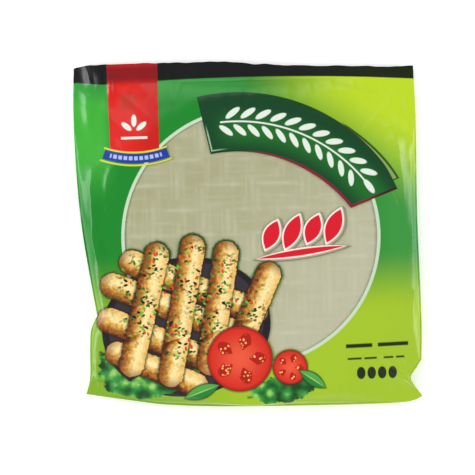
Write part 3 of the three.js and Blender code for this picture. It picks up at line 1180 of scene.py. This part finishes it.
class PACK_OT_clear_window(bpy.types.Operator):
    """Makes the clear window in the front film"""

    bl_idname = "pack.clear_window"
    bl_label = "Clear window"

    def execute(self, context):
        film = context.scene.pack_film

        def height(x, y):
            return FRONT + waves(film, x, y)

        obj = round_sheet(
            "clear_window_film", WINDOW, WINDOW_RADIUS, height, film.wall, sides=240, count=48
        )
        obj.data.materials.append(clear_polypropylene(context.scene))
        dress(obj, "clear_film", "clear_window")
        return {"FINISHED"}


CAMERA_TARGET = Vector((-7.47, -2.68, 15)) * MM
SENSOR_WIDTH = 36  # of the camera, in millimetres
SKY_STRENGTH = 0.28

# Each softbox: its name, its place and its level and other side in metres, and its power in watts.
SOFTBOXES = (
    ("softbox_left", (-1.55, 0, 0.85), (2.0, 0.6), 30),
    ("softbox_right", (1.6, 0.1, 0.75), (1.8, 0.8), 25),
    ("softbox_back", (-0.2, 1.4, 1.2), (1.4, 1.4), 9),
    ("softbox_front", (0.1, -1.5, 1.1), (1.4, 1.4), 8),
)


class PACK_OT_stage(bpy.types.Operator):
    """Makes the floor, the studio lights and the camera"""

    bl_idname = "pack.stage"
    bl_label = "Stage"

    def execute(self, context):
        stage = context.scene.pack_stage
        bpy.ops.object.select_all(action="DESELECT")
        bpy.ops.mesh.primitive_plane_add(size=6, location=(0, 0, -0.05 * MM))
        floor = bpy.context.object
        bpy.ops.object.transform_apply(location=True)
        floor.name = "floor"
        floor.data.materials.append(white_acrylic(stage))
        for softbox in SOFTBOXES:
            self.light(*softbox)
        world = bpy.data.worlds.new("Studio")
        world.use_nodes = True
        background = world.node_tree.nodes["Background"]
        background.inputs["Color"].default_value = (1, 1, 1, 1)
        background.inputs["Strength"].default_value = SKY_STRENGTH
        context.scene.world = world
        context.scene.view_settings.view_transform = "Standard"
        self.camera(context, stage)
        return {"FINISHED"}

    def light(self, name, place, sides, power):
        """A light that faces the pack, with its first side level."""
        bpy.ops.object.light_add(type="AREA", location=place)
        light = bpy.context.object
        light.name = name
        light.data.shape = "RECTANGLE"
        light.data.size, light.data.size_y = sides
        light.data.energy = power
        light.rotation_euler = (-Vector(place)).to_track_quat("-Z", "Y").to_euler()

    def camera(self, context, stage):
        """The camera, which looks down on the pack."""
        back = Vector((0, -math.cos(stage.elevation), math.sin(stage.elevation)))
        bpy.ops.object.camera_add(location=CAMERA_TARGET + back * stage.camera_distance)
        camera = bpy.context.object
        camera.name = "camera"
        camera.rotation_mode = "QUATERNION"
        look = (-back).to_track_quat("-Z", "Y")
        camera.rotation_quaternion = look @ Matrix.Rotation(stage.roll, 3, "Z").to_quaternion()
        camera.data.sensor_width = SENSOR_WIDTH
        camera.data.lens = SENSOR_WIDTH * stage.camera_distance / stage.frame_width
        context.scene.camera = camera


class PACK_PT_panel(bpy.types.Panel):
    """Lists the pack's sizes and the operators that make its pieces"""

    bl_label = "Rice paper pack"
    bl_idname = "PACK_PT_panel"
    bl_space_type = "VIEW_3D"
    bl_region_type = "UI"
    bl_category = "Pack"

    def draw(self, context):
        for group in GROUPS:
            box = self.layout.box()
            settings = getattr(context.scene, group)
            for name in settings.bl_rna.properties.keys():
                if name not in ("rna_type", "name"):
                    box.prop(settings, name)
        for operator in OPERATORS:
            self.layout.operator(operator.bl_idname)


GROUPS = {
    "pack_film": FilmSizes,
    "pack_papers": PaperSizes,
    "pack_inks": PrintInks,
    "pack_stage": StageSizes,
}
OPERATORS = (PACK_OT_stage, PACK_OT_rice_papers, PACK_OT_printed_film, PACK_OT_clear_window)
CLASSES = (*GROUPS.values(), *OPERATORS, PACK_PT_panel)


def register():
    for kind in CLASSES:
        bpy.utils.register_class(kind)
    for name, kind in GROUPS.items():
        setattr(bpy.types.Scene, name, bpy.props.PointerProperty(type=kind))


def unregister():
    for name in GROUPS:
        delattr(bpy.types.Scene, name)
    for kind in reversed(CLASSES):
        bpy.utils.unregister_class(kind)


def main():
    register()
    bpy.ops.pack.stage()
    bpy.ops.pack.rice_papers()
    bpy.ops.pack.printed_film()
    bpy.ops.pack.clear_window()


if __name__ == "__main__":
    main()
